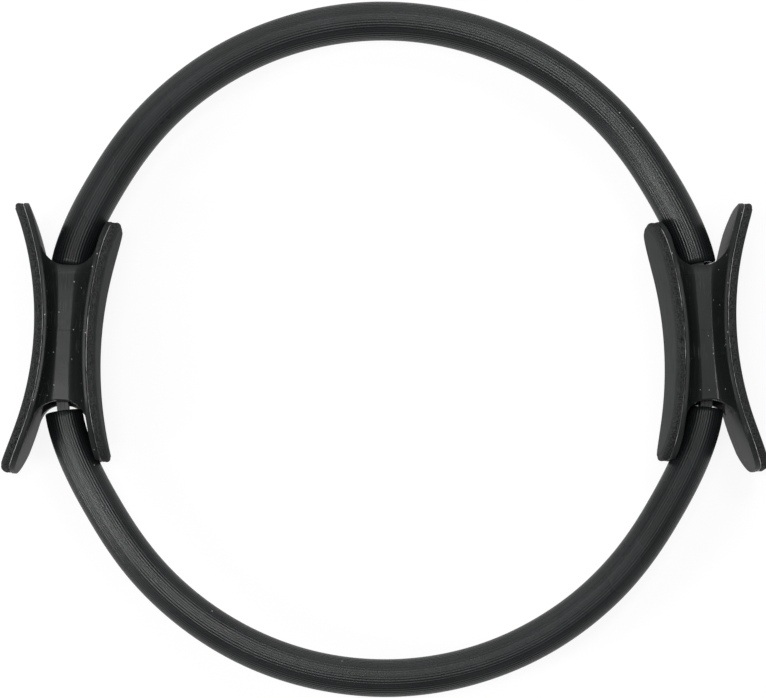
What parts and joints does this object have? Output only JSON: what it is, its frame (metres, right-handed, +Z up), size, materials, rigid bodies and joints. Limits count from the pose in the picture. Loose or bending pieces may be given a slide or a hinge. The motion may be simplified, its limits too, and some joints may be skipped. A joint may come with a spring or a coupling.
{
  "type": "pilates ring",
  "caption": "Flexible exercise hoop in ribbed rubber sleeves with padded spool-shaped handles on opposite sides, squeezed between hands or legs.",
  "frame": {"origin": "below the hoop's centre, on the surface that the handles' side edges rest on", "axes": "+Z up along the hoop's axis, +X from the left handle to the right handle, +Y towards the upper sleeve"},
  "size_m": [0.3818, 0.3496, 0.058],
  "materials": {
    "leaf": "black glass-fibre laminate, satin",
    "sleeve": "black extruded rubber with fine ribs along its length, satin",
    "handle": "black moulded plastic, semi-gloss",
    "pad": "dark grey closed-cell foam, matt",
    "adhesive": "thin pale glue film",
    "fastener": "zinc-plated steel"
  },
  "bodies": {
    "hoop_and_right_handle": {"outer_leaf": "leaf", "middle_leaf": "leaf", "inner_leaf": "leaf", "upper_sleeve": "sleeve", "lower_sleeve": "sleeve", "right_handle": "handle", "right_outer_pad": "pad", "right_inner_pad": "pad", "right_outer_adhesive": "adhesive", "right_inner_adhesive": "adhesive", "right_clamp_bolts": "fastener", "right_clamp_washers": "fastener", "right_clamp_nuts": "fastener"},
    "left_handle_set": {"left_handle": "handle", "left_outer_pad": "pad", "left_inner_pad": "pad", "left_outer_adhesive": "adhesive", "left_inner_adhesive": "adhesive", "left_clamp_bolts": "fastener", "left_clamp_washers": "fastener", "left_clamp_nuts": "fastener"}
  },
  "joints": [
    {"name": "squeeze", "type": "slide", "parent": "hoop_and_right_handle", "child": "left_handle_set", "axis": [1, 0, 0], "range_m": [-0.015, 0.06], "stiffness_N_per_m": 1600, "deforming": ["upper_sleeve", "lower_sleeve", "outer_leaf", "middle_leaf", "inner_leaf"]}
  ]
}
